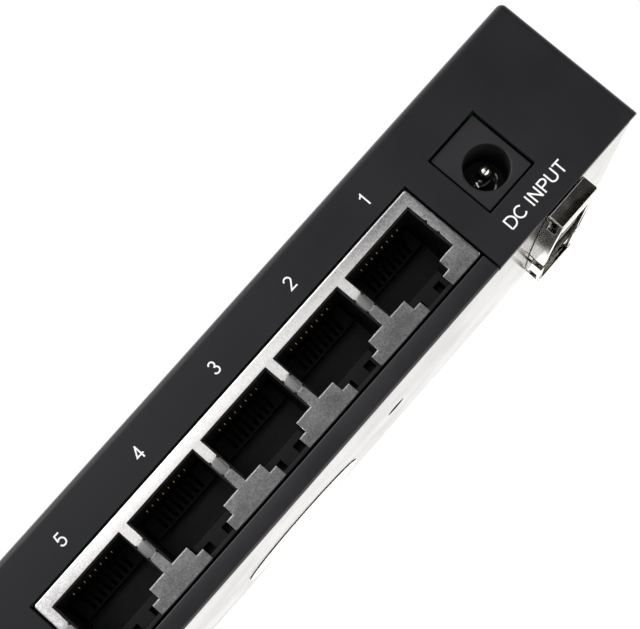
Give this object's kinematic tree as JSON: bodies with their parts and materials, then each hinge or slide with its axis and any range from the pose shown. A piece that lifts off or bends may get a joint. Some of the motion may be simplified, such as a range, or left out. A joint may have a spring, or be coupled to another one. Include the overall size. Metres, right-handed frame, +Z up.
{
  "type": "network switch",
  "caption": "Network switch in a black folded-steel case with a row of shielded RJ45 sockets, a barrel power jack, indicator lamps and sprung rail clips underneath.",
  "frame": {"origin": "under the middle of the case, level with the lowest faces of the two rail clips, on which it stands", "axes": "+X along the case towards the power jack, -Y out of the port panel, +Z up"},
  "size_m": [0.11, 0.042, 0.0262],
  "materials": {
    "case_paint": "fine matt black powder coat over steel",
    "screw_steel": "blackened steel, satin",
    "label": "blank matt label stock",
    "shield_tin": "tin-plated steel, grainy and slightly dull",
    "black_plastic": "moulded, fine texture",
    "chip_plastic": "matt moulding compound",
    "contact_gold": "gold flash on phosphor bronze",
    "nickel": "nickel plate, polished",
    "can_aluminium": "satin can",
    "board": "green solder mask on glass-epoxy",
    "lamp_lens": "tinted clear plastic"
  },
  "bodies": {
    "case": {"board_screw_1": "nickel", "board_screw_2": "nickel", "board_screw_3": "nickel", "board_screw_4": "nickel", "board_standoff_1": "nickel", "board_standoff_2": "nickel", "board_standoff_3": "nickel", "board_standoff_4": "nickel", "bottom_plate": "case_paint", "capacitor_1": "can_aluminium", "capacitor_2": "can_aluminium", "circuit_board": "board", "clip_base_left": "nickel", "clip_base_right": "nickel", "clip_rivet_left_1": "screw_steel", "clip_rivet_left_2": "screw_steel", "clip_rivet_right_1": "screw_steel", "clip_rivet_right_2": "screw_steel", "clip_screw_left_1": "screw_steel", "clip_screw_left_2": "screw_steel", "clip_screw_right_1": "screw_steel", "clip_screw_right_2": "screw_steel", "clip_spring_left": "nickel", "clip_spring_right": "nickel", "contact_set_1": "contact_gold", "contact_set_2": "contact_gold", "contact_set_3": "contact_gold", "contact_set_4": "contact_gold", "contact_set_5": "contact_gold", "cover_screw_1": "screw_steel", "cover_screw_2": "screw_steel", "cover_screw_3": "screw_steel", "cover_screw_4": "screw_steel", "crystal": "nickel", "inductor": "chip_plastic", "jack_contact": "nickel", "jack_housing": "black_plastic", "jack_pin": "nickel", "lamp_1": "lamp_lens", "lamp_2": "lamp_lens", "lamp_3": "lamp_lens", "lamp_4": "lamp_lens", "lamp_5": "lamp_lens", "lamp_6": "lamp_lens", "lamp_holder": "black_plastic", "memory_chip": "chip_plastic", "port_housing": "black_plastic", "port_shield": "shield_tin", "rating_label": "label", "regulator_chip": "chip_plastic", "switch_chip": "chip_plastic", "top_cover": "case_paint", "transformer_1": "chip_plastic", "transformer_2": "chip_plastic", "transformer_3": "chip_plastic", "transformer_4": "chip_plastic", "transformer_5": "chip_plastic"},
    "latch_right": {"clip_latch_right": "nickel"},
    "latch_left": {"clip_latch_left": "nickel"}
  },
  "joints": [
    {"name": "latch_right_slide", "type": "slide", "parent": "case", "child": "latch_right", "axis": [0, -1, 0], "range_m": [0, 0.003], "stiffness_N_per_m": 1200, "springref_m": -0.002},
    {"name": "latch_left_slide", "type": "slide", "parent": "case", "child": "latch_left", "axis": [0, -1, 0], "range_m": [0, 0.003], "stiffness_N_per_m": 1200, "springref_m": -0.002}
  ]
}
